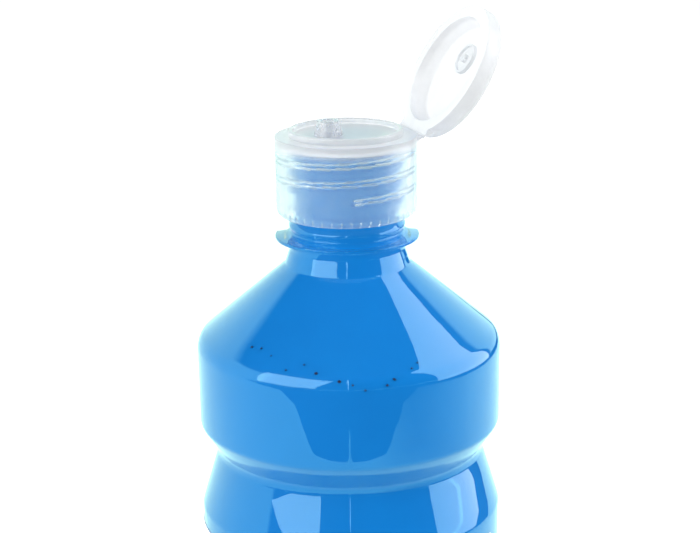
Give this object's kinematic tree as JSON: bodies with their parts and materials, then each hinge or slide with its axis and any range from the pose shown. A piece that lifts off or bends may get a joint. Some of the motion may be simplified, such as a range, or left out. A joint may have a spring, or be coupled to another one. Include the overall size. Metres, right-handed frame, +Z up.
{
  "type": "squeeze bottle of paint",
  "caption": "Clear waisted squeeze bottle of blue ready-mixed paint with a screw-on translucent flip-top closure, its lid open.",
  "frame": {"origin": "centre of the base, on the surface the bottle stands on", "axes": "+Z up the bottle's axis, +X towards the closure's hinge"},
  "size_m": [0.0737, 0.0734, 0.2322],
  "materials": {
    "clear_pet": "clear glossy blown plastic",
    "blue_paint": "wet opaque paint",
    "label_film": "printed gloss label",
    "foam_liner": "white foam sheet",
    "natural_pp": "translucent natural moulded plastic",
    "clear_pp": "clear moulded plastic"
  },
  "bodies": {
    "bottle": {"bottle": "clear_pet", "paint": "blue_paint", "label": "label_film"},
    "washer": {"neck_washer": "foam_liner"},
    "closure": {"closure_base": "natural_pp", "spout": "clear_pp", "hinge_film": "natural_pp"},
    "lid": {"lid": "natural_pp", "lid_plug": "natural_pp"}
  },
  "joints": [
    {"name": "washer_lift", "type": "slide", "parent": "bottle", "child": "washer", "axis": [0, 0, 1], "range_m": [0, 0.00847]},
    {"name": "closure_turn", "type": "hinge", "parent": "washer", "child": "closure", "pos_m": [0, 0, 0.185], "axis": [0, 0, 1], "range_deg": [0, 720]},
    {"name": "lid_hinge", "type": "hinge", "parent": "closure", "child": "lid", "pos_m": [0.0165, 0, 0.2038], "axis": [0, 1, 0], "range_deg": [-120.5, 45]}
  ],
  "couplings": [
    {"joint": "washer_lift", "follows": "closure_turn", "m_per_rad": 0.00067376}
  ]
}
